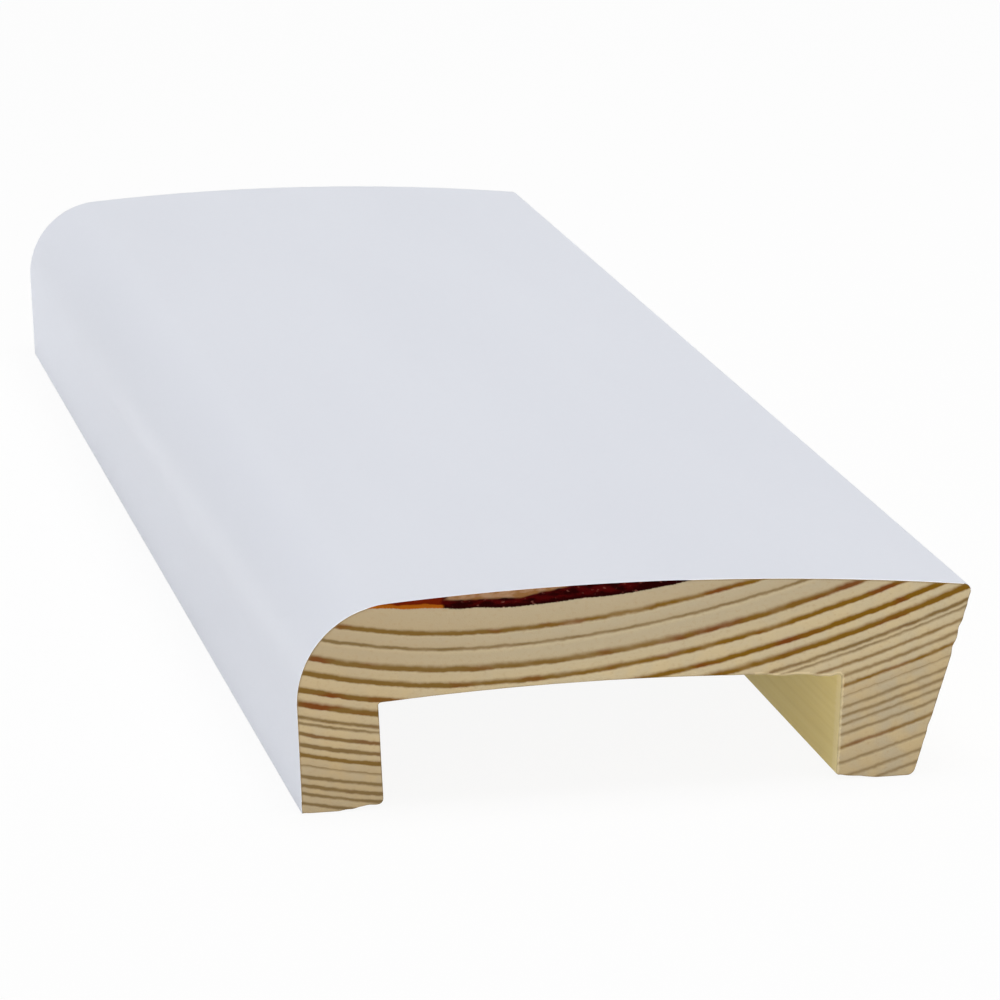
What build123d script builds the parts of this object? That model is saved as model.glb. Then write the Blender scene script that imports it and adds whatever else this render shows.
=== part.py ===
"""Cable skirting board: a sawn length of pine moulding with a cable channel run into its back.

The board lies on its back, as it is stored. X runs across the board, from the rounded top edge to the bevelled
bottom edge, Y runs along the grain and Z points out of the face. The section is drawn from the top edge's back
corner, with x across the board and z above the back plane, and is centred over the origin once it is extruded.
"""

from build123d import *
import os
from math import radians, sqrt, tan

# Overall sizes, in millimetres
BOARD_LENGTH = 250.0  # sawn length, along the grain
BOARD_WIDTH = 70.0  # top edge to the front corner of the bottom edge, before that corner is eased
BOARD_THICKNESS = 22.0  # back plane to the crown of the face

# Face and edges
FACE_RADIUS = 322.0  # the face is slightly convex
CROWN_FROM_TOP = 32.0  # top edge to the crown of the face
TOP_ROUND = 10.0  # radius between the top edge and the face
BOTTOM_BEVEL = 17.5  # degrees that the bottom edge is undercut from square
FRONT_EASE = 0.9  # radius on the front corner of the bottom edge

# Back: two legs that meet the wall, with the cable channel between them
TOP_LEG = 8.3  # width of the leg along the top edge
BOTTOM_FOOT = 7.8  # width of the bottom leg where it meets the wall
FOOT_FLAT = 4.0  # width of the outer part of each foot, which bears on the wall
FOOT_RELIEF = 0.5  # the rest of the foot rises by this towards the channel, so that the outer edges close tight
CHANNEL_DEPTH = 11.0  # back plane to the roof, at the channel's walls
CHANNEL_ARCH = 0.9  # rise of the arched roof at the middle of the channel
CHANNEL_CORNER = 0.6  # radius where the roof meets the channel's walls
FOOT_EASE = 0.6  # radius on the feet's corners beside the channel
HEEL_EASE = 0.9  # radius on the bottom foot's outer corner


def face_height(x):
    """Height of the convex face above the back plane, x from the top edge."""
    return BOARD_THICKNESS - FACE_RADIUS + sqrt(FACE_RADIUS**2 - (x - CROWN_FROM_TOP) ** 2)


def section():
    """The board's cross-section: a sharp outline whose corners are then rounded."""
    front_height = face_height(BOARD_WIDTH)
    heel_x = BOARD_WIDTH - front_height * tan(radians(BOTTOM_BEVEL))
    channel_end = heel_x - BOTTOM_FOOT

    top_back = (0, 0)
    top_front = (0, face_height(0))
    crown = (CROWN_FROM_TOP, BOARD_THICKNESS)
    bottom_front = (BOARD_WIDTH, front_height)
    heel = (heel_x, 0)
    bottom_flat_end = (heel_x - FOOT_FLAT, 0)
    bottom_toe = (channel_end, FOOT_RELIEF)
    roof_end = (channel_end, CHANNEL_DEPTH)
    roof_middle = ((TOP_LEG + channel_end) / 2, CHANNEL_DEPTH + CHANNEL_ARCH)
    roof_start = (TOP_LEG, CHANNEL_DEPTH)
    top_toe = (TOP_LEG, FOOT_RELIEF)
    top_flat_end = (FOOT_FLAT, 0)

    outline = [
        Line(top_back, top_front),
        ThreePointArc(top_front, crown, bottom_front),
        Polyline(bottom_front, heel, bottom_flat_end, bottom_toe, roof_end),
        ThreePointArc(roof_end, roof_middle, roof_start),
        Polyline(roof_start, top_toe, top_flat_end, top_back),
    ]
    profile = make_face(outline)
    rounded = [
        (top_front, TOP_ROUND),
        (bottom_front, FRONT_EASE),
        (heel, HEEL_EASE),
        (bottom_toe, FOOT_EASE),
        (top_toe, FOOT_EASE),
        (roof_end, CHANNEL_CORNER),
        (roof_start, CHANNEL_CORNER),
    ]
    for corner, radius in rounded:
        profile = fillet(profile.vertices().sort_by_distance(corner)[:1], radius)
    return profile


def skirting_board():
    """The section extruded along the grain, centred over the origin with its feet on the back plane."""
    board = extrude(Plane.XZ * section(), amount=BOARD_LENGTH / 2, both=True)
    box = board.bounding_box()
    return Pos(-box.center().X, 0, 0) * board


os.makedirs("parts", exist_ok=True)
export_step(skirting_board(), "parts/skirting_board.step")
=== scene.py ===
"""Looks of the cable skirting board: white paint over planed pine, and the end grain that a saw leaves.

One detailed mesh stands for the board's CAD node. Its section has the board's sizes in millimetres, but its
legs lean a little and the corners in its channel are sharper, as on the length in the photograph. It is drawn
from the top edge's back corner, with x across the board and z above the back plane; y runs back from the near
end. Growth rings are worked out for every vertex, so the relief of the sawn ends and the wood's colour come
from the same rings.
"""

from math import acos, atan2, cos, pi, radians, sin, sqrt, tan

import bpy
import numpy as np
from mathutils import Matrix, Vector, kdtree, noise
from mathutils.geometry import delaunay_2d_cdt


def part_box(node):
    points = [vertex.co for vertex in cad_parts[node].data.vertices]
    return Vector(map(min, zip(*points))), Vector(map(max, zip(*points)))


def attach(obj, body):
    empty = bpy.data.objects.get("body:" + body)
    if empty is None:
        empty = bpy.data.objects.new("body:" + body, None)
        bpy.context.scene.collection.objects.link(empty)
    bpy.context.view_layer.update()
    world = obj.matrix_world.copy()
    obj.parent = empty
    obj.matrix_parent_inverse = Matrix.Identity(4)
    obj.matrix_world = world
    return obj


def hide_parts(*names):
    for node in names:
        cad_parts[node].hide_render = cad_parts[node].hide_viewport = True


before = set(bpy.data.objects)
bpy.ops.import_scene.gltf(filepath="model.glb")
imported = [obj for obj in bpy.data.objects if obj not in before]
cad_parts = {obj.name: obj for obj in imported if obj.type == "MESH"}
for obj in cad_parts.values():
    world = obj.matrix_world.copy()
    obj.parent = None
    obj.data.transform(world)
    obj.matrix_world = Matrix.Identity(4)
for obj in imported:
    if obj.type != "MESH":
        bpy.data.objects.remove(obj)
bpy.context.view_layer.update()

MM = 0.001
BOARD_LOW, BOARD_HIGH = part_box("skirting_board")
LENGTH = (BOARD_HIGH.y - BOARD_LOW.y) / MM
THICKNESS = (BOARD_HIGH.z - BOARD_LOW.z) / MM

# Section, in millimetres
WIDTH = 70.0  # to the front corner of the bottom edge, before that corner is eased
FACE_RADIUS = 322.0
CROWN_FROM_TOP = 32.0
TOP_ROUND = 10.0
BOTTOM_BEVEL = radians(17.5)
FRONT_EASE = 0.9
TOP_LEG = 8.3
BOTTOM_FOOT = 7.8
FOOT_FLAT = 4.0
FOOT_RELIEF = 0.5
CHANNEL_DEPTH = 11.0
CHANNEL_ARCH = 0.9
FOOT_EASE = 0.6
SHARP_EASE = 0.25  # the channel's own corners, and the bottom foot's beside it, are sharper on this length
HEEL_EASE = 0.9

# Lean of the legs, in millimetres towards the channel at the back plane: this length has cupped a little
TOP_EDGE_LEAN = 0.30
TOP_WALL_LEAN = 0.36
BOTTOM_WALL_LEAN = 0.50
BOTTOM_WALL_SPREAD = 0.15  # the bottom leg's wall leans out by this at the channel's roof
HEEL_LEAN = 0.21

# Mesh, in millimetres
OUTLINE_STEP = 0.25  # between points round the section
CAP_STEP = 0.26  # between points across a sawn end
CAP_CLEARANCE = 0.6  # share of that step that those points keep from the edges
ROW_STEP = 9.0  # between sections along the board
END_ROWS = (0.6, 1.0, 1.8, 3.2, 5.5)  # sections close to a sawn end
ROUND_POINTS = 80  # along the top round, before the outline is evened out
ROOF_POINTS = 120  # and along the roof
FACING = 0.5  # part of a unit normal above which a side faces that way
SHARP_ANGLE = radians(40)  # faces that meet at more than this keep a hard edge
PAINT_FILM = 0.05  # thickness on the face, seen edge-on at the sawn ends
THIN_FILM = 0.5  # share of that thickness on the top edge, where the paint runs thin
FILM_ENDS = 5  # points of the outline at each end of the paint where the film has no edge of its own
PAINT_ARRIS = 0.03  # radius of the sawn arris where it is painted
BARE_ARRIS = 0.08  # radius of the sawn arris where it is bare wood
FRAYED_ARRIS = 0.14  # and where the saw frayed it, along the bottom leg's wall and the roof beside it
FRAYED_ROOF = 9.0  # length of that stretch of the roof
FRAYED_REACH = (0.28, 3.0)  # how far the fraying reaches from the arris, on a sawn end and along the board
RAGGEDNESS = 1.3  # share of its radius by which the bare arris varies
ARRIS_TURNS = (0, 30, 60, 90)  # degrees round the sawn arris at which it has a row of points
NICK_DEPTH = 0.18  # the saw tears bites of up to this out of the bevel and the feet
NICK_LENGTH = 7.0  # and they run out along the board
NICK_NOISE = (0.1, 0.6)  # noise at which a bite starts, and at which it is deepest
BURR = 0.28  # splinters of up to this hang from the frayed roof
BURR_LENGTH = 1.6
BURR_NOISE = 0.6  # noise at which a splinter is longest
NEAR_SEED = 21.3  # of the noise that tears the near end
FAR_SEED = 44.8
RING_RELIEF = 0.04  # earlywood lies this far below latewood on a sawn end
RING_ROUGHNESS = 0.2  # share of that relief which varies
POCKET_DEPTH = 0.3  # the resin pocket is hollow by up to this
POCKET_ROUGHNESS = 0.3  # share of that depth which varies
POCKET_SIDE = 0.5  # and the pocket reaches it this far in from its lower side

# Growth rings from the pith out: millimetres of growth, of which latewood, and how dark that latewood is
GROWTH = (
    (5.25, 0.45, 0.74), (1.55, 0.25, 0.50), (2.20, 0.60, 0.70), (1.60, 0.50, 0.76), (1.80, 0.50, 0.95),
    (1.45, 0.62, 0.74), (1.25, 0.30, 0.52), (0.55, 0.20, 0.26), (1.15, 0.28, 0.58), (1.10, 0.32, 0.54),
    (1.00, 0.32, 0.70), (1.00, 0.12, 0.00), (1.15, 0.27, 0.45), (0.95, 0.30, 0.50), (0.80, 0.24, 0.40),
    (1.00, 0.27, 0.42), (1.30, 0.34, 0.63), (1.55, 0.24, 0.30), (1.55, 0.30, 0.36), (1.10, 0.27, 0.44),
    (1.20, 0.30, 0.54),
)
PALE_YEARS_FROM = (2.0, 4.5)  # earlywood is paler between these years, coming and going over each pair
PALE_YEARS_TO = (12.0, 9.5)
WIDEST_GROWTH = max(growth for growth, _, _ in GROWTH)
FIRST_RING_TOP = 22.87  # height of the first year's start, where its arc is lowest
RING_MIDDLE = 17.6  # section x where the rings are lowest
RING_SLOPE_TOP = 0.43  # slope that the rings tend to, on the side of the top edge
RING_SLOPE_BOTTOM = 0.75  # and on the side of the bottom edge
RING_BEND_TOP = 28.8  # half width of the bend between the slopes, on the side of the top edge
RING_BEND_BOTTOM = 94.7  # and on the side of the bottom edge
RING_STEEPENING = 0.004  # the slope grows by this for each millimetre nearer the pith
RING_DRIFT = 5.0  # the rings' lowest point moves across by this along the board
RING_LIFT = 0.9  # and up by this
RING_WANDER = 0.05  # the rings wander by up to this at the near end
RING_WANDER_BACK = 0.25  # and by this more at the far end
RING_RIPPLE = 0.07  # and ripple by up to this within a few millimetres
RING_BLUR = 0.30  # millimetres over which a year's latewood ends

# Resin pocket under the face, open at the near end, in millimetres
POCKET_FLOOR = 20.70  # ring height of its lower side at the top edge
POCKET_SLOPE = 0.03  # the lower side falls by this for each millimetre across
POCKET_HEAD = 13.2  # up to this far across, where it starts, the lower side cuts through the rings
POCKET_HEAD_SLOPE = 0.1
POCKET_WANDER = 0.12  # the lower side wanders by up to this
POCKET_LENGTH = 45.0  # over this length along the board
POCKET_CLOSING = 2.5  # the lower side rises by this, which closes the pocket
AMBER_TO = (16.1, 15.5)  # section x over which the amber head comes in, towards the top edge
STRIP_FROM = (15.8, 16.6)  # and the paler strip under the face, away from it
STRIP_THINS_FROM = 23.0  # past this the strip gets thinner
STRIP_THINNING = 0.13  # by this for each millimetre across
SPECKS_FROM = (16.0, 17.0)  # section x over which specks come in
TAIL_FROM = (34.5, 37.0)  # and over which the tail turns all dark

# Colours, linear
PAINT_WHITE = (0.700, 0.722, 0.785, 1)
PAINT_SHADE = (0.686, 0.708, 0.772, 1)
# painted highlight: the cut edge of the paint film is given a lighter colour than the paint, for a bright
# line along the arris
PAINT_CUT_HIGHLIGHT = (0.86, 0.87, 0.91, 1)
EARLYWOOD = (0.460, 0.355, 0.200, 1)
EARLYWOOD_GREY = (0.410, 0.340, 0.225, 1)
EARLYWOOD_PALE = (0.57, 0.465, 0.285, 1)
EARLYWOOD_LATE = (0.36, 0.250, 0.125, 1)
LATEWOOD = (0.170, 0.095, 0.022, 1)
LATEWOOD_GOLD = (0.175, 0.084, 0.007, 1)
LATEWOOD_RED = (0.150, 0.042, 0.008, 1)
LATEWOOD_THIN = (0.185, 0.125, 0.055, 1)
RESIN_DARK = (0.016, 0.001, 0.001, 1)
RESIN_RED = (0.052, 0.002, 0.002, 1)
RESIN_ORANGE = (0.32, 0.085, 0.006, 1)
RESIN_RUST = (0.12, 0.010, 0.002, 1)
RESIN_SPECK = (0.26, 0.090, 0.065, 1)
RESIN_TAN = (0.25, 0.120, 0.040, 1)
RESIN_PALE = (0.36, 0.215, 0.120, 1)
PLANED_PINE = (0.77, 0.64, 0.275, 1)
PLANED_WARM = (0.74, 0.61, 0.255, 1)
PLANED_DARK = (0.64, 0.52, 0.205, 1)
PLANED_LATE = (0.50, 0.36, 0.12, 1)
SPLINTER = (0.83, 0.70, 0.42, 1)
# a thin darker line on the end grain just inside the paint's edge
DARK_LINE = (0.20, 0.140, 0.065, 1)

# Faces' materials, in the order that the board holds them
PAINT, PLANED, SAWN, PAINT_EDGE = range(4)
CUTTER_WAVES = 0.18  # scale of the waves that the planer's cutters leave along the board

# Stage, lamps and camera, in metres and watts
FLOOR_SIZE = 8.0
FLOOR_DROP = -0.00005  # just under the feet
FLOOR_COLOUR = (0.93, 0.93, 0.93, 1)
FLOOR_GLOW = 0.92  # how much of the floor that the camera sees is plain white
WORLD_STRENGTH = 0.20
LAMPS = (
    # name, place, what it is aimed at, width, height, power
    ("overhead", (0.15, -0.08, 1.15), (0, 0, 0), 0.9, 0.9, 10.1),
    ("back", (0.25, 1.00, 0.55), (0, 0, 0), 0.8, 0.6, 1.1),
    ("left_strip", (-0.52, -0.84, 0.05), (0.01, -0.12, 0.01), 0.6, 0.09, 2.9),
    ("front_strip", (-0.15, -0.95, 0.05), (0.01, -0.12, 0.01), 0.6, 0.09, 2.3),
    ("low_side", (-0.35, 0.05, 0.006), (-0.035, 0.05, 0.006), 0.5, 0.01, 0.13),
    ("low_far", (-0.17, 0.20, 0.006), (-0.035, 0.14, 0.006), 0.1, 0.01, 0.05),
)
CAMERA_PLACE = (-0.11825, -0.70017, 0.15990)
CAMERA_AIM = (0.0126, 0.0205, -0.0014)
CAMERA_ROLL = radians(-0.90)
CAMERA_LENS = 215.5
CAMERA_SENSOR = 36.0


def noise_at(points, wavelengths, seed):
    """Smooth noise between about -1 and 1 at each (x, y, z) point, with a wavelength for each axis."""
    scaled = np.asarray(points, float) / np.asarray(wavelengths, float) + seed
    return np.array([noise.noise(Vector(p)) for p in scaled])


# Section outline

def eased(before, corner, after, radius, steps=8):
    """Points of the arc that rounds a corner between two straight lines."""
    before, corner, after = (Vector(p) for p in (before, corner, after))
    to_before = (before - corner).normalized()
    to_after = (after - corner).normalized()
    half = acos(to_before.dot(to_after)) / 2
    centre = corner + (to_before + to_after).normalized() * (radius / sin(half))
    start = corner + to_before * (radius / tan(half)) - centre
    end = corner + to_after * (radius / tan(half)) - centre
    turn = atan2(start.cross(end), start.dot(end))
    return [centre + Matrix.Rotation(turn * k / steps, 2) @ start for k in range(steps + 1)]


def resampled(points, step):
    """A closed line's points at even steps along it, from its first point."""
    loop = np.vstack([points, points[:1]])
    along = np.concatenate([[0], np.cumsum(np.hypot(*np.diff(loop, axis=0).T))])
    places = np.linspace(0, along[-1], round(along[-1] / step), endpoint=False)
    return np.column_stack([np.interp(places, along, loop[:, k]) for k in (0, 1)])


def section_outline():
    """The section's outline: up the top edge, across the face, down the bottom edge and along the legs."""
    face_centre = THICKNESS - FACE_RADIUS
    round_z = face_centre + sqrt((FACE_RADIUS - TOP_ROUND) ** 2 - (TOP_ROUND - CROWN_FROM_TOP) ** 2)
    round_end = atan2(round_z - face_centre, TOP_ROUND - CROWN_FROM_TOP)

    def face(x):
        return face_centre + sqrt(FACE_RADIUS**2 - (x - CROWN_FROM_TOP) ** 2)

    heel_x = WIDTH - face(WIDTH) * tan(BOTTOM_BEVEL)
    channel_end = heel_x - BOTTOM_FOOT
    channel_middle = (TOP_LEG + channel_end) / 2
    half_channel = (channel_end - TOP_LEG) / 2

    def roof(x):
        return CHANNEL_DEPTH + CHANNEL_ARCH * (1 - ((x - channel_middle) / half_channel) ** 2)

    front = (WIDTH, face(WIDTH))
    heel = (heel_x - HEEL_LEAN, 0)
    bottom_flat = (heel_x - FOOT_FLAT, 0)
    bottom_toe = (channel_end - BOTTOM_WALL_LEAN, FOOT_RELIEF)
    roof_end = (channel_end + BOTTOM_WALL_SPREAD, CHANNEL_DEPTH)
    roof_start = (TOP_LEG, CHANNEL_DEPTH)
    top_toe = (TOP_LEG + TOP_WALL_LEAN, FOOT_RELIEF)
    top_flat = (FOOT_FLAT, 0)
    roof_margin = 3 * SHARP_EASE
    roof_places = np.linspace(channel_end - roof_margin, TOP_LEG + roof_margin, ROOF_POINTS)
    roof_line = [(x, roof(x)) for x in roof_places]

    points = [(TOP_EDGE_LEAN, 0)]
    for angle in np.linspace(pi, round_end, ROUND_POINTS):
        points.append((TOP_ROUND + TOP_ROUND * cos(angle), round_z + TOP_ROUND * sin(angle)))
    for x in np.arange(points[-1][0] + OUTLINE_STEP, WIDTH - 2 * FRONT_EASE, OUTLINE_STEP):
        points.append((x, face(x)))
    points += eased(points[-1], front, heel, FRONT_EASE)
    points += eased(front, heel, bottom_flat, HEEL_EASE)
    points.append(bottom_flat)
    points += eased(bottom_flat, bottom_toe, roof_end, SHARP_EASE)
    points += eased(bottom_toe, roof_end, roof_line[0], SHARP_EASE)
    points += roof_line
    points += eased(roof_line[-1], roof_start, top_toe, SHARP_EASE)
    points += eased(roof_start, top_toe, top_flat, FOOT_EASE)
    points.append(top_flat)
    return resampled(np.array([tuple(p) for p in points]), OUTLINE_STEP)


def inward_normals(outline):
    """Unit vectors into the wood at each point of the outline."""
    along = np.roll(outline, -1, axis=0) - np.roll(outline, 1, axis=0)
    inward = np.column_stack([along[:, 1], -along[:, 0]])
    return inward / np.hypot(*inward.T)[:, None]


# Growth rings

def ring_height(points):
    """Height of the ring through each (x, y, z) point, measured where that ring is lowest at the near end."""
    x, y, z = points.T
    back = y / LENGTH
    off = x - RING_MIDDLE - RING_DRIFT * back
    bend = np.where(off < 0, RING_BEND_TOP, RING_BEND_BOTTOM)
    slope = np.where(off < 0, RING_SLOPE_TOP, RING_SLOPE_BOTTOM)
    reach = np.sqrt(off**2 + bend**2) - bend
    wander = (RING_WANDER + RING_WANDER_BACK * back) * noise_at(points, (9, 70, 9), 3.7)
    wander += RING_RIPPLE * noise_at(points, (2.0, 30, 1.2), 11.3)
    return (z - slope * reach) / (1 + RING_STEEPENING * reach) + RING_LIFT * back + wander


def years(height):
    """Growth in years at each ring height: a whole number at the outer end of each year's latewood."""
    ends = FIRST_RING_TOP - np.cumsum([0] + [growth for growth, _, _ in GROWTH])
    return np.interp(-height, -ends, np.arange(len(ends)))


def latewood(age):
    """How far into latewood the wood is at each age, from 0 to 1, which it reaches halfway through."""
    year = np.clip(age.astype(int), 0, len(GROWTH) - 1)
    share = np.array([late / growth for growth, late, _ in GROWTH])[year]
    return np.clip((age - year - (1 - share)) / (0.5 * share), 0, 1)


def pocket_field(points, height):
    """Millimetres inside the resin pocket, negative outside it."""
    across = points[:, 0]
    floor = POCKET_FLOOR - POCKET_SLOPE * across - POCKET_HEAD_SLOPE * np.maximum(POCKET_HEAD - across, 0)
    floor += POCKET_WANDER * noise_at(points, (3.5, 20, 3.5), 5.2)
    return height - floor - POCKET_CLOSING * (points[:, 1] / POCKET_LENGTH) ** 2


# Mesh of the board

def frayed(outline, inward, painted):
    """Whether the saw frayed the edge at each point: on the bottom leg's wall and the roof beside it."""
    in_channel = (inward[:, 0] > FACING) | ((inward[:, 1] > FACING) & (outline[:, 1] > CHANNEL_DEPTH / 2))
    channel_end = outline[in_channel, 0].max()
    return ~painted & in_channel & (outline[:, 0] > channel_end - FRAYED_ROOF)


def smoothed(numbers, times):
    """Numbers round the outline, each evened out with its neighbours."""
    for _ in range(times):
        numbers = (np.roll(numbers, 1) + 2 * numbers + np.roll(numbers, -1)) / 4
    return numbers


def sawn_arris(outline, painted, fray, seed):
    """Radius of a sawn end's arris at each point of the outline: even under paint, ragged on bare wood."""
    around = np.column_stack([outline[:, 0], np.zeros(len(outline)), outline[:, 1]])
    ragged = 0.6 * noise_at(around, (1.7, 1, 1.7), seed) + 0.4 * noise_at(around, (0.6, 1, 0.6), seed + 7.1)
    bare = np.where(fray, FRAYED_ARRIS, BARE_ARRIS) * (1 + RAGGEDNESS * np.maximum(ragged, -0.5))
    return smoothed(np.where(painted, PAINT_ARRIS, bare), 4)


def nicks(outline, inward, painted, seed):
    """How deep a sawn end's edge is torn at each point: here and there on the bevel and the feet."""
    around = np.column_stack([outline[:, 0], np.zeros(len(outline)), outline[:, 1]])
    bites = noise_at(around, (4.5, 1, 4.5), seed) + 0.8 * noise_at(around, (0.9, 1, 0.9), seed + 3.3)
    is_foot = outline[:, 1] < 2 * FOOT_RELIEF
    is_bevel = (inward[:, 0] < -FACING) & (outline[:, 0] > WIDTH - BOTTOM_FOOT)
    torn = ~painted & (is_foot | is_bevel)
    start, full = NICK_NOISE
    return smoothed(np.where(torn, NICK_DEPTH * np.clip((bites - start) / (full - start), 0, 1), 0), 2)


def burrs(outline, inward, fray, seed):
    """How far splinters hang from a sawn end's edge at each point: from the frayed roof only."""
    around = np.column_stack([outline[:, 0], np.zeros(len(outline)), outline[:, 1]])
    fringe = noise_at(around, (2.2, 1, 2.2), seed + 5.7) + 0.7 * noise_at(around, (0.7, 1, 0.7), seed + 9.2)
    hanging = fray & (inward[:, 1] > FACING)
    return smoothed(np.where(hanging, BURR * np.clip(fringe / BURR_NOISE, 0, 1), 0), 2)


def board_sections(outline, inward, painted, fray):
    """The board's sections from the near end to the far end, with each sawn arris rounded."""
    def ring(place, inset):
        points = outline + inward * np.broadcast_to(inset, len(outline))[:, None]
        return np.column_stack([points[:, 0], np.broadcast_to(place, len(outline)), points[:, 1]])

    def end(seed):
        arris = sawn_arris(outline, painted, fray, seed)
        torn = nicks(outline, inward, painted, seed)
        burr = burrs(outline, inward, fray, seed)
        rows = [(arris * (1 - cos(turn)), arris * (1 - sin(turn))) for turn in map(radians, ARRIS_TURNS)]
        rows += [(np.full(len(outline), place), 0) for place in END_ROWS]
        sections = []
        for place, inset in rows:
            bite = torn * np.clip(1 - place / NICK_LENGTH, 0, 1) ** 2
            hang = burr * np.clip(1 - place / BURR_LENGTH, 0, 1)
            sections.append(ring(place, inset + bite - hang))
        return sections

    near, far = end(NEAR_SEED), end(FAR_SEED)
    for section in far:
        section[:, 1] = LENGTH - section[:, 1]
    margin = END_ROWS[-1] + ROW_STEP / 2
    middle = [ring(place, 0) for place in np.linspace(margin, LENGTH - margin, round(LENGTH / ROW_STEP))]
    return near + middle + far[::-1]


def tree_of(points):
    """A search tree of (x, z) points."""
    tree = kdtree.KDTree(len(points))
    for k, (x, z) in enumerate(points):
        tree.insert((x, z, 0), k)
    tree.balance()
    return tree


def nearest(points, tree):
    """(which of a tree's points is nearest, its distance) for each (x, z) point, as two arrays."""
    found = [tree.find((x, z, 0)) for x, z in points]
    return np.array([k for _, k, _ in found]), np.array([distance for _, _, distance in found])


def cap_points(known):
    """Points that fill a sawn end evenly, clear of the known points along its edges."""
    tree = tree_of(known)
    points = []
    for row, z in enumerate(np.arange(0, THICKNESS, CAP_STEP * sqrt(3) / 2)):
        for x in np.arange(CAP_STEP / 2 * (row % 2), WIDTH, CAP_STEP):
            if tree.find((x, z, 0))[2] > CAP_CLEARANCE * CAP_STEP:
                points.append((x, z))
    return points


def sawn_end(rim, film_line, film_rim):
    """(points beyond the rim's, triangles, which of those are the paint film's edge) that fill a sawn end."""
    known = np.vstack([rim, film_line])
    flat = [Vector(p) for p in [*known, *cap_points(known)]]
    film = range(len(rim), len(known))
    edges = [(k, (k + 1) % len(rim)) for k in range(len(rim))] + list(zip(film, film[1:]))
    made, _, triangles, sources, _, _ = delaunay_2d_cdt(flat, edges, [], 1, 1e-6)
    place = {k: source[0] for k, source in enumerate(sources) if source[0] < len(rim)}
    added = sorted({k for triangle in triangles for k in triangle} - set(place))
    place.update({k: len(rim) + n for n, k in enumerate(added)})
    in_film = set(film) | set(film_rim)
    is_film = [all(sources[k][0] in in_film for k in triangle) for triangle in triangles]
    return [made[k] for k in added], [[place[k] for k in triangle] for triangle in triangles], is_film


def board_shape():
    """(vertices in millimetres, faces, materials, how frayed each vertex is, its distance from paint)."""
    outline = section_outline()
    inward = inward_normals(outline)
    count = len(outline)
    painted = np.arange(count) <= np.argmax(outline[:, 0])
    film = np.where(painted)[0][FILM_ENDS:-FILM_ENDS]
    facing_up = np.maximum(-inward[film, 1], 0)
    thickness = PAINT_ARRIS + PAINT_FILM * (THIN_FILM + (1 - THIN_FILM) * facing_up)
    film_line = outline[film] + inward[film] * thickness[:, None]

    fray = frayed(outline, inward, painted)
    sections = board_sections(outline, inward, painted, fray)
    vertices = np.vstack(sections)
    on_cap, along = FRAYED_REACH
    from_end = np.minimum(vertices[:, 1], LENGTH - vertices[:, 1])
    frayed_by = np.tile(fray, len(sections)) * np.clip(1 - from_end / along, 0, 1)
    from_paint = np.full(len(vertices), PAINT_FILM)
    faces, materials = [], []
    spans = len(sections) - 1
    for row in range(spans):
        first = row * count
        is_arris = min(row, spans - 1 - row) < len(ARRIS_TURNS) - 1
        bare = SAWN if is_arris else PLANED
        for k in range(count):
            after = (k + 1) % count
            faces.append((first + k, first + after, first + count + after, first + count + k))
            materials.append(PAINT if painted[k] and painted[after] else bare)

    edge_tree = tree_of(outline)
    film_tree = tree_of(film_line)
    for section, is_near in ((sections[0], True), (sections[-1], False)):
        points, triangles, is_film = sawn_end(section[:, [0, 2]], film_line, film)
        rim_start = 0 if is_near else count * spans
        added_start = len(vertices) - count
        for triangle, of_film in zip(triangles, is_film):
            face = [rim_start + k if k < count else added_start + k for k in triangle]
            faces.append(face if is_near else face[::-1])
            materials.append(PAINT_EDGE if of_film else SAWN)
        flat = np.array([tuple(p) for p in points])
        vertices = np.vstack([vertices, np.insert(flat, 1, 0 if is_near else LENGTH, axis=1)])
        edge, from_edge = nearest(flat, edge_tree)
        frayed_by = np.append(frayed_by, fray[edge] * np.clip(1 - from_edge / on_cap, 0, 1))
        from_paint = np.append(from_paint, nearest(flat, film_tree)[1])
    return vertices, faces, materials, frayed_by, from_paint


def make_board(looks):
    """The board as one object: its rings give the sawn ends relief and go to its materials as values."""
    vertices, faces, materials, frayed_by, from_paint = board_shape()
    height = ring_height(vertices)
    growth = years(height)
    pocket = pocket_field(vertices, height)

    rough = noise_at(vertices, (0.9, 0.9, 0.9), 8.2)
    hollow = RING_RELIEF * (1 - latewood(growth)) * (1 - RING_ROUGHNESS + RING_ROUGHNESS * rough)
    in_pocket = np.clip(pocket / POCKET_SIDE, 0, 1)
    hollow += POCKET_DEPTH * in_pocket * (1 - POCKET_ROUGHNESS + POCKET_ROUGHNESS * rough)
    is_cap = np.zeros(len(vertices), bool)
    for face, material in zip(faces, materials):
        if material == SAWN:
            is_cap[list(face)] = True
    near = is_cap & (vertices[:, 1] < LENGTH / 2)
    far = is_cap & ~near
    vertices[near, 1] += hollow[near]
    vertices[far, 1] -= hollow[far]

    mesh = bpy.data.meshes.new("painted_board")
    mesh.from_pydata(vertices * MM + np.array(BOARD_LOW), [], faces)
    mesh.polygons.foreach_set("material_index", materials)
    values = {"growth": growth, "pocket": pocket, "frayed": frayed_by, "from_paint": from_paint}
    for name, numbers in values.items():
        mesh.attributes.new(name, "FLOAT", "POINT").data.foreach_set("value", numbers.astype(np.float32))
    for look in looks:
        mesh.materials.append(look)
    mesh.shade_smooth()
    mesh.set_sharp_from_angle(angle=SHARP_ANGLE)
    board = bpy.data.objects.new("painted_board", mesh)
    bpy.context.scene.collection.objects.link(board)
    return board


# Materials

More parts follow.
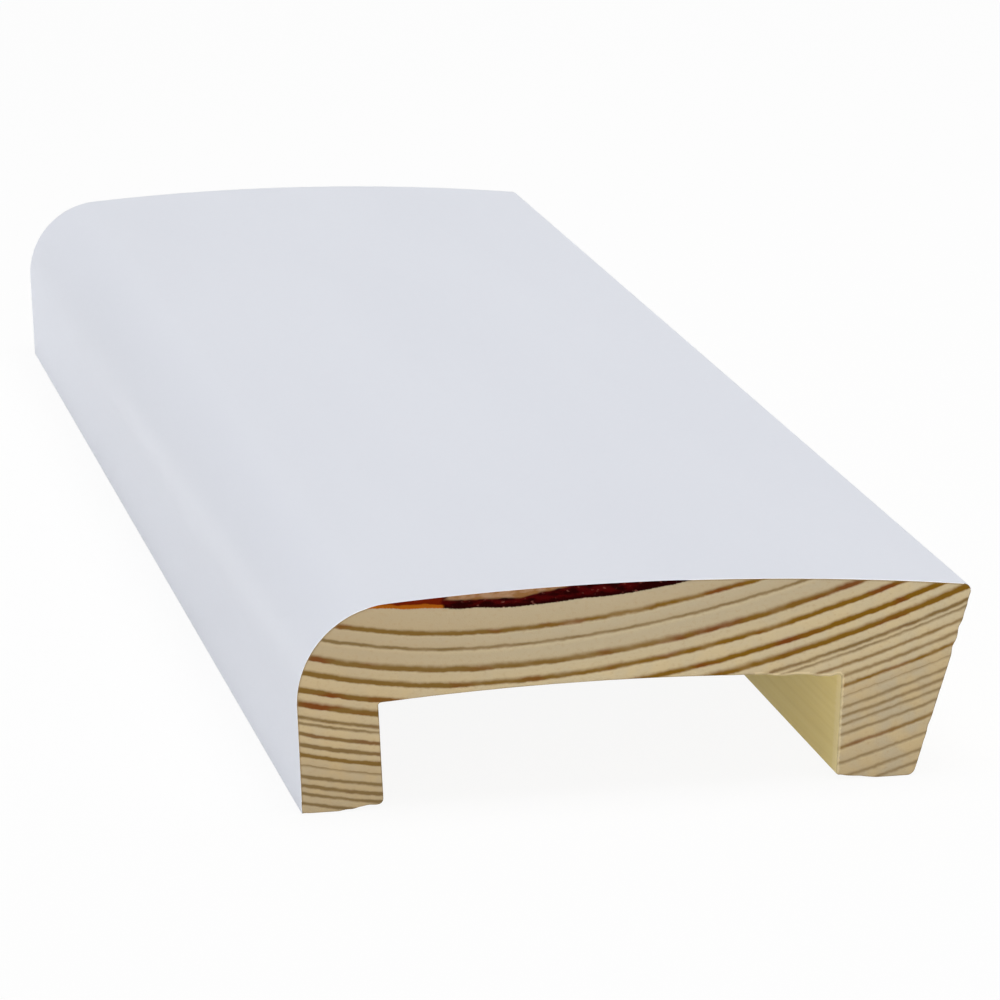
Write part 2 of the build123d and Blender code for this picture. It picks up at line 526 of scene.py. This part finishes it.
class Look:
    """Adds nodes to one material. Most methods return the socket that holds their result."""

    def __init__(self, name):
        self.material = bpy.data.materials.new(name)
        self.material.use_nodes = True
        self.tree = self.material.node_tree
        self.shader = self.tree.nodes["Principled BSDF"]
        self.surface = None
        part = self.node("TexCoord").outputs["Object"]
        corner = self.node("VectorMath", {0: part, 1: BOARD_LOW}, operation="SUBTRACT").outputs[0]
        # millimetres along the section's x, along the board and along the section's z
        self.place = self.node("VectorMath", {0: corner, "Scale": 1 / MM}, operation="SCALE").outputs[0]

    def node(self, kind, inputs=None, **settings):
        made = self.tree.nodes.new("ShaderNode" + kind)
        for name, value in settings.items():
            setattr(made, name, value)
        for socket, value in (inputs or {}).items():
            if isinstance(value, bpy.types.NodeSocket):
                self.tree.links.new(value, made.inputs[socket])
            else:
                made.inputs[socket].default_value = value
        return made

    def math(self, operation, a, b=0.0, c=0.0):
        return self.node("Math", {0: a, 1: b, 2: c}, operation=operation).outputs[0]

    def times(self, a, b):
        return self.math("MULTIPLY", a, b)

    def line(self, value, slope, start):
        """start + slope * value."""
        return self.math("MULTIPLY_ADD", value, slope, start)

    def value(self, name):
        return self.node("Attribute", attribute_name=name).outputs["Fac"]

    def noise(self, wavelengths, seed, detail=2.0):
        """Noise from 0 to 1, with a wavelength in millimetres for each axis."""
        stretched = self.node("VectorMath", {0: self.place, 1: wavelengths}, operation="DIVIDE").outputs[0]
        inputs = {"Vector": stretched, "W": seed, "Scale": 1.0, "Detail": detail}
        return self.node("TexNoise", inputs, noise_dimensions="4D").outputs["Fac"]

    def step(self, value, low, high):
        """0 below low, 1 above high and smooth between, or the other way round if high is the smaller."""
        inputs = {"Value": value, "From Min": low, "From Max": high}
        return self.node("MapRange", inputs, interpolation_type="SMOOTHSTEP").outputs["Result"]

    def mix(self, share, a, b):
        return self.node("Mix", {0: share, 6: a, 7: b}, data_type="RGBA").outputs[2]

    def bump(self, height, depth):
        """Raises the surface by up to depth, in millimetres, over what was raised before."""
        inputs = {"Height": height, "Strength": 1.0, "Distance": depth * MM}
        if self.surface:
            inputs["Normal"] = self.surface
        self.surface = self.node("Bump", inputs).outputs["Normal"]

    def finish(self, colour, roughness, shine):
        """Joins the results to the shader and returns the material."""
        results = {"Base Color": colour, "Roughness": roughness, "Normal": self.surface}
        for name, socket in results.items():
            self.tree.links.new(socket, self.shader.inputs[name])
        self.shader.inputs["Specular IOR Level"].default_value = shine
        return self.material

    def by_year(self, year, numbers):
        """One of the numbers, from 0 to 1, chosen by the year."""
        ramp = self.node("ValToRGB", {"Fac": self.line(year, 1 / len(numbers), 0.5 / len(numbers))})
        stops = ramp.color_ramp
        stops.interpolation = "CONSTANT"
        while len(stops.elements) < len(numbers):
            stops.elements.new(1.0)
        for k, number in enumerate(numbers):
            stops.elements[k].position = k / len(numbers)
            stops.elements[k].color = (number, number, number, 1)
        return ramp.outputs["Color"]

    def rings(self, wander):
        """(how far through the year, how much is latewood, how dark that latewood is)."""
        growth = self.value("growth")
        millimetres = [size / WIDEST_GROWTH for size, _, _ in GROWTH]
        width = self.times(self.by_year(self.math("FLOOR", growth), millimetres), WIDEST_GROWTH)
        age = self.math("ADD", growth, self.math("DIVIDE", wander, width))
        year = self.math("FLOOR", age)
        through = self.math("SUBTRACT", age, year)
        share = self.by_year(year, [late / size for size, late, _ in GROWTH])
        to_end = self.math("DIVIDE", self.math("SUBTRACT", 1.0, through), share)
        ending = self.step(to_end, 1.25, 0.25)
        # the line runs a little over into the next year, so that its outer side is soft too
        over = self.step(self.times(through, width), RING_BLUR, 0.0)
        darks = [dark for _, _, dark in GROWTH]
        is_over = self.math("GREATER_THAN", over, ending)
        dark = self.by_year(self.math("SUBTRACT", year, is_over), darks)
        return through, self.math("MAXIMUM", ending, over), dark


def white_paint():
    """Satin white paint: even, with the grain below it just raised."""
    look = Look("white_paint")
    cloud = look.noise((18, 90, 18), 1.0)
    raised = look.noise((0.9, 45, 0.9), 2.0, 3)
    peel = look.noise((0.8, 0.8, 0.8), 3.0, 1)
    look.bump(raised, 0.010)
    look.bump(peel, 0.004)
    colour = look.mix(look.step(cloud, 0.3, 0.7), PAINT_WHITE, PAINT_SHADE)
    return look.finish(colour, roughness=look.line(peel, 0.12, 0.46), shine=0.3)


def paint_edge():
    """The paint film where the saw cut it, seen edge-on, with a lighter colour than its surface: a painted
    highlight along the arris.
    """
    look = Look("paint_edge")
    grit = look.noise((0.3, 0.3, 0.3), 4.0)
    look.bump(grit, 0.02)
    # painted highlight: the cut edge is mostly lighter than the paint
    colour = look.mix(look.step(grit, 0.5, 0.8), PAINT_CUT_HIGHLIGHT, PAINT_WHITE)
    return look.finish(colour, roughness=look.line(grit, 0.2, 0.55), shine=0.3)


def planed_pine():
    """Planed long grain: faint rings drawn out along the board, fibres, and the cutters' shallow waves."""
    look = Look("planed_pine")
    fibre = look.noise((0.35, 26, 0.35), 5.0, 3)
    streak = look.noise((3, 120, 3), 6.0)
    _, late, dark = look.rings(look.line(fibre, 0.3, -0.15))
    colour = look.mix(look.step(streak, 0.3, 0.7), PLANED_PINE, PLANED_WARM)
    colour = look.mix(look.times(fibre, 0.3), colour, PLANED_DARK)
    colour = look.mix(look.times(look.times(late, dark), 0.18), colour, PLANED_LATE)
    torn = look.step(look.math("MULTIPLY_ADD", fibre, 0.8, look.value("frayed")), 0.55, 0.95)
    colour = look.mix(look.times(torn, 0.45), colour, SPLINTER)
    waves = {"Vector": look.place, "Scale": CUTTER_WAVES, "Distortion": 1.0}
    look.bump(look.node("TexWave", waves, bands_direction="Y").outputs["Fac"], 0.006)
    look.bump(fibre, 0.02)
    return look.finish(colour, roughness=look.line(fibre, 0.2, 0.5), shine=0.3)


def resin(look, grit, across):
    """(colour of the resin pocket, how much of a place is inside it)."""
    pocket = look.value("pocket")
    blotch = look.noise((1.6, 20, 0.6), 12.0, 3)
    speck = look.noise((0.8, 6, 0.45), 14.0, 2)
    drift = look.math("MULTIPLY_ADD", blotch, 1.5, across)
    above_floor = look.math("MULTIPLY_ADD", blotch, 0.5, pocket)

    is_red = look.times(look.step(above_floor, 0.40, 0.80), look.step(blotch, 0.38, 0.58))
    bark = look.mix(is_red, RESIN_DARK, RESIN_RED)
    bark = look.mix(look.step(drift, *TAIL_FROM), bark, RESIN_DARK)
    amber = look.mix(look.step(above_floor, 0.54, 0.70), RESIN_ORANGE, RESIN_RUST)
    colour = look.mix(look.step(drift, *AMBER_TO), bark, amber)

    # a paler strip lies under the face and thins out towards the pocket's tail
    past = look.math("MAXIMUM", look.math("SUBTRACT", across, STRIP_THINS_FROM), 0.0)
    thinning = look.times(past, -STRIP_THINNING)
    strip = look.step(look.math("ADD", above_floor, thinning), 1.0, 1.3)
    strip = look.times(strip, look.step(drift, *STRIP_FROM))
    paler = look.mix(look.step(blotch, 0.6, 0.4), RESIN_TAN, RESIN_PALE)
    colour = look.mix(look.times(strip, 0.9), colour, paler)
    is_speck = look.times(look.step(speck, 0.60, 0.70), look.step(drift, *SPECKS_FROM))
    colour = look.mix(look.times(is_speck, 0.45), colour, RESIN_SPECK)
    inside = look.step(look.math("MULTIPLY_ADD", grit, 0.2, pocket), 0.06, 0.18)
    return colour, inside


def end_grain():
    """Sawn end grain: pale earlywood and brown latewood, paler torn edges and the dark resin pocket."""
    look = Look("end_grain")
    grit = look.noise((0.16, 0.16, 0.16), 7.0)
    speck = look.noise((0.5, 3, 0.35), 13.0, 3)
    patch = look.noise((2.6, 40, 2.6), 8.0)
    warmth = look.noise((6, 40, 3), 9.0)
    depth = look.noise((3, 40, 1.2), 10.0, 3)
    through, late, dark = look.rings(look.line(look.noise((0.8, 9, 0.8), 11.0), 0.24, -0.12))

    growth = look.value("growth")
    across = look.node("SeparateXYZ", {0: look.place}).outputs[0]
    grey = look.math("MAXIMUM", look.step(patch, 0.35, 0.65), look.times(look.step(growth, 5.0, 2.5), 0.9))
    early = look.mix(grey, EARLYWOOD, EARLYWOOD_GREY)
    pale_years = look.times(look.step(growth, *PALE_YEARS_FROM), look.step(growth, *PALE_YEARS_TO))
    early = look.mix(look.times(pale_years, 0.42), early, EARLYWOOD_PALE)
    early = look.mix(look.times(look.step(through, 0.3, 0.0), 0.5), early, EARLYWOOD_PALE)
    early = look.mix(look.times(look.math("POWER", through, 3.0), 0.4), early, EARLYWOOD_LATE)
    # the wood is a little darker towards the top edge
    early = look.mix(look.times(look.step(across, 30.0, 4.0), 0.28), early, EARLYWOOD_LATE)
    early = look.mix(look.times(look.step(speck, 0.5, 0.75), 0.35), early, EARLYWOOD_LATE)

    brown = look.mix(look.step(across, 15.0, 50.0), LATEWOOD, LATEWOOD_GOLD)
    brown = look.mix(look.step(warmth, 0.5, 0.65), brown, LATEWOOD_RED)
    brown = look.mix(look.step(dark, 0.4, 0.8), LATEWOOD_THIN, brown)
    cover = look.times(look.times(late, look.line(dark, 0.6, 0.5)), look.line(depth, 0.9, 0.55))
    # the first years' latewood is darkest at both edges of the board, the later years' along its top edge
    off_middle = look.math("ABSOLUTE", look.line(across, 2 / WIDTH, -1.0))
    first_years = look.line(off_middle, 0.34, 0.95)
    later_years = look.line(look.step(across, 40.0, 10.0), 0.45, 0.95)
    is_later = look.step(growth, 7.0, 9.0)
    strength = look.node("Mix", {0: is_later, 2: first_years, 3: later_years}).outputs[0]
    cover = look.math("MINIMUM", look.times(cover, strength), 1.0)
    colour = look.mix(cover, early, brown)

    # the end grain is darker in a thin line just inside the paint's edge
    dark_line = look.step(look.math("MULTIPLY_ADD", grit, 0.15, look.value("from_paint")), 0.32, 0.1)
    colour = look.mix(look.times(dark_line, 0.55), colour, DARK_LINE)
    torn = look.step(look.math("MULTIPLY_ADD", speck, 0.8, look.value("frayed")), 0.6, 1.2)
    colour = look.mix(look.times(torn, 0.30), colour, SPLINTER)
    pocket, inside = resin(look, grit, across)
    colour = look.mix(inside, colour, pocket)

    look.bump(grit, 0.03)
    return look.finish(colour, roughness=look.line(inside, -0.3, 0.8), shine=0.0)


# Stage, lamps and camera

def seen(tree):
    """A socket that is 1 where the camera sees a thing, straight or in a reflection, and 0 for its light."""
    path = tree.nodes.new("ShaderNodeLightPath")
    share = path.outputs["Is Camera Ray"]
    for kind in ("Is Glossy Ray", "Is Transmission Ray"):
        either = tree.nodes.new("ShaderNodeMath")
        either.operation = "MAXIMUM"
        tree.links.new(share, either.inputs[0])
        tree.links.new(path.outputs[kind], either.inputs[1])
        share = either.outputs[0]
    return share


def make_floor():
    """A pale floor that keeps the board's shadow."""
    half = FLOOR_SIZE / 2
    corners = [(x, y, FLOOR_DROP) for x, y in ((-half, -half), (half, -half), (half, half), (-half, half))]
    mesh = bpy.data.meshes.new("floor")
    mesh.from_pydata(corners, [], [(0, 1, 2, 3)])
    floor = bpy.data.objects.new("floor", mesh)
    bpy.context.scene.collection.objects.link(floor)

    look = bpy.data.materials.new("floor")
    look.use_nodes = True
    mesh.materials.append(look)
    tree = look.node_tree
    tree.nodes.clear()
    paper = tree.nodes.new("ShaderNodeBsdfDiffuse")
    paper.inputs["Color"].default_value = FLOOR_COLOUR
    white = tree.nodes.new("ShaderNodeEmission")
    share = tree.nodes.new("ShaderNodeMath")
    share.operation = "MULTIPLY"
    share.inputs[1].default_value = FLOOR_GLOW
    blend = tree.nodes.new("ShaderNodeMixShader")
    output = tree.nodes.new("ShaderNodeOutputMaterial")
    tree.links.new(seen(tree), share.inputs[0])
    tree.links.new(share.outputs[0], blend.inputs[0])
    tree.links.new(paper.outputs[0], blend.inputs[1])
    tree.links.new(white.outputs[0], blend.inputs[2])
    tree.links.new(blend.outputs[0], output.inputs["Surface"])


def light_world():
    """Soft light from all round, white where the camera sees it."""
    world = bpy.data.worlds.new("studio")
    bpy.context.scene.world = world
    world.use_nodes = True
    tree = world.node_tree
    strength = tree.nodes.new("ShaderNodeMapRange")
    strength.inputs["To Min"].default_value = WORLD_STRENGTH
    background = tree.nodes["Background"]
    background.inputs["Color"].default_value = (1, 1, 1, 1)
    tree.links.new(seen(tree), strength.inputs["Value"])
    tree.links.new(strength.outputs["Result"], background.inputs["Strength"])


def add_lamp(name, place, target, width, height, watts):
    """A soft rectangular lamp at place, aimed at target."""
    light = bpy.data.lights.new(name, "AREA")
    light.shape = "RECTANGLE"
    light.size = width
    light.size_y = height
    light.energy = watts
    lamp = bpy.data.objects.new(name, light)
    lamp.location = place
    lamp.rotation_euler = (Vector(target) - Vector(place)).to_track_quat("-Z", "Y").to_euler()
    lamp.visible_camera = False
    bpy.context.scene.collection.objects.link(lamp)


def add_camera():
    """The camera that the photograph's outlines fit."""
    data = bpy.data.cameras.new("camera")
    data.lens = CAMERA_LENS
    data.sensor_width = CAMERA_SENSOR
    camera = bpy.data.objects.new("camera", data)
    aim = (Vector(CAMERA_AIM) - Vector(CAMERA_PLACE)).to_track_quat("-Z", "Y")
    roll = Matrix.Rotation(CAMERA_ROLL, 4, "Z")
    camera.matrix_world = Matrix.Translation(CAMERA_PLACE) @ aim.to_matrix().to_4x4() @ roll
    bpy.context.scene.collection.objects.link(camera)
    bpy.context.scene.camera = camera


board = make_board([white_paint(), planed_pine(), end_grain(), paint_edge()])
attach(board, "root")
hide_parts("skirting_board")

make_floor()
light_world()
for lamp in LAMPS:
    add_lamp(*lamp)
add_camera()
bpy.context.scene.view_settings.view_transform = "Standard"
